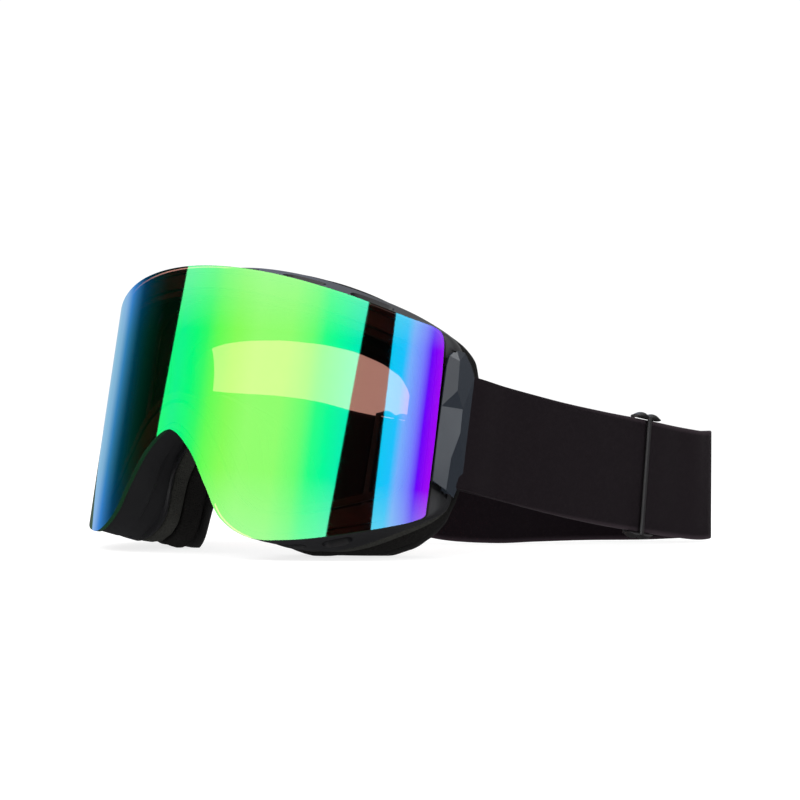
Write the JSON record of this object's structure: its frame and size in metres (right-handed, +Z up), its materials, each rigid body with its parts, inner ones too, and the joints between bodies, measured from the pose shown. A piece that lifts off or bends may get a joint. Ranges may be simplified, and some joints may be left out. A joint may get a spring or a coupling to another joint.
{
  "type": "ski goggles",
  "caption": "Ski goggles with a cylindrical magnetic mirror lens, vented frame, layered face foam, hinged strap arms and an elastic strap with sliders.",
  "frame": {"origin": "on the surface the goggles stand on, under the middle of the whole part's box", "axes": "+Z up, the lens looks along -Y and leans back a little, +X is the wearer's left"},
  "size_m": [0.1776, 0.2288, 0.1055],
  "materials": {
    "mirror_lens": "tinted mirror coating, gloss",
    "clear_lens": "smoke tinted, gloss",
    "frame_plastic": "matte, moulded",
    "arm_plastic": "satin, faceted",
    "foam": "open-cell foam",
    "fleece": "brushed fleece",
    "gasket": "matte",
    "magnet": "nickel plated",
    "steel": "satin",
    "webbing": "knitted elastic",
    "buckle": "satin, moulded"
  },
  "bodies": {
    "frame": {"frame_magnet_brow_left": "magnet", "frame_magnet_brow_right": "magnet", "frame_magnet_side_left": "magnet", "frame_magnet_side_right": "magnet", "frame_magnet_cheek_left": "magnet", "frame_magnet_cheek_right": "magnet", "frame": "frame_plastic", "vent_foam_brow": "foam", "vent_foam_cheek_left": "foam", "vent_foam_cheek_right": "foam", "face_foam_base": "foam", "face_foam_middle": "foam", "face_foam_fleece": "fleece", "arm_pin_left": "steel", "arm_pin_right": "steel", "strap_left": "webbing", "strap_rear": "webbing", "strap_right": "webbing"},
    "lens": {"outer_lens": "mirror_lens", "inner_lens": "clear_lens", "lens_carrier": "frame_plastic", "lens_spacer": "gasket", "lens_magnet_brow_left": "magnet", "lens_magnet_brow_right": "magnet", "lens_magnet_side_left": "magnet", "lens_magnet_side_right": "magnet", "lens_magnet_cheek_left": "magnet", "lens_magnet_cheek_right": "magnet"},
    "arm_left": {"arm_bracket_left": "frame_plastic", "arm_cover_left": "arm_plastic", "strap_bar_left": "steel", "arm_screw_upper_left": "steel", "arm_screw_lower_left": "steel"},
    "arm_right": {"arm_bracket_right": "frame_plastic", "arm_cover_right": "arm_plastic", "strap_bar_right": "steel", "arm_screw_upper_right": "steel", "arm_screw_lower_right": "steel"},
    "slider_left": {"slider_left": "buckle"},
    "slider_right": {"slider_right": "buckle"}
  },
  "joints": [
    {"name": "lens_pull", "type": "slide", "parent": "frame", "child": "lens", "axis": [0, -0.9833, 0.1822], "range_m": [0, 0.035]},
    {"name": "arm_hinge_left", "type": "hinge", "parent": "frame", "child": "arm_left", "pos_m": [0.0848, -0.05912, 0.04891], "axis": [0, -0.1822, -0.9833], "range_deg": [0, 15], "deforming": ["strap_left"]},
    {"name": "arm_hinge_right", "type": "hinge", "parent": "frame", "child": "arm_right", "pos_m": [-0.0848, -0.05912, 0.04891], "axis": [0, 0.1822, 0.9833], "range_deg": [0, 15], "deforming": ["strap_right"]},
    {"name": "slider_left", "type": "slide", "parent": "frame", "child": "slider_left", "axis": [-0.0181, 0.9925, -0.1206], "range_m": [0, 0.008]},
    {"name": "slider_right", "type": "slide", "parent": "frame", "child": "slider_right", "axis": [0.9291, 0.3296, -0.1681], "range_m": [0, 0.008]}
  ]
}
